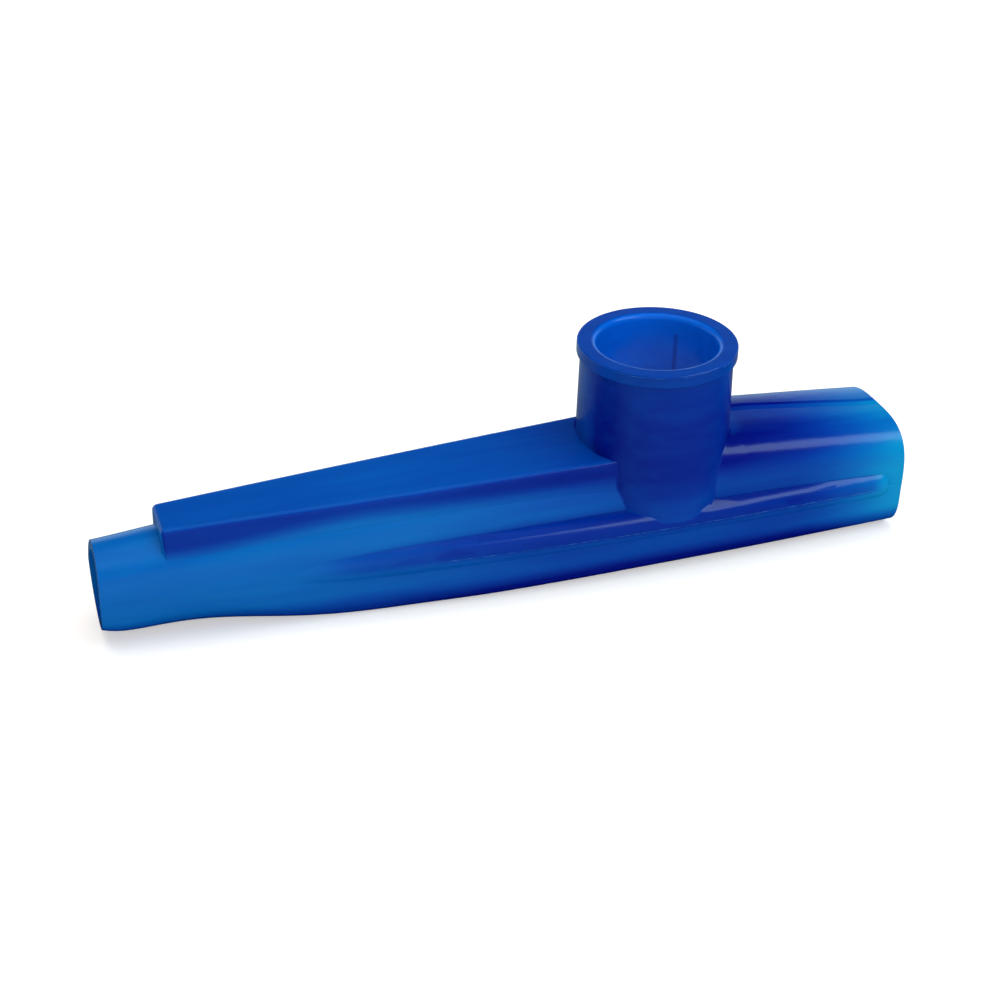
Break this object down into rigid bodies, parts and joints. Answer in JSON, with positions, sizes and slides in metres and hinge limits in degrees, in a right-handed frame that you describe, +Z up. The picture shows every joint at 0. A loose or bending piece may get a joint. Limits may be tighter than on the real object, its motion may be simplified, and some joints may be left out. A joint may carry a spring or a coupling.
{
  "type": "kazoo",
  "caption": "Moulded plastic kazoo: a tapering two-shell body with a flat deck, side beads and a turret whose flanged ring cap pulls up to free the film below it",
  "frame": {"origin": "under the middle of the body, on the plane that the flat keel rests on", "axes": "+X runs from the small end to the mouth end, +Y to the far side, +Z up along the turret"},
  "size_m": [0.12, 0.0232, 0.0331],
  "materials": {
    "shell_plastic": "gloss",
    "cap_plastic": "gloss",
    "film": "satin"
  },
  "bodies": {
    "shell": {"upper_shell": "shell_plastic", "lower_shell": "shell_plastic"},
    "cap": {"turret_cap": "cap_plastic"},
    "film": {"membrane": "film"}
  },
  "joints": [
    {"name": "cap_pull", "type": "slide", "parent": "shell", "child": "cap", "axis": [0, 0, 1], "range_m": [0, 0.03]},
    {"name": "membrane_lift", "type": "slide", "parent": "shell", "child": "film", "axis": [0, 0, 1], "range_m": [0, 0.015]}
  ],
  "couplings": [
    {"joint": "membrane_lift", "follows": "cap_pull", "ratio": 0.5}
  ]
}
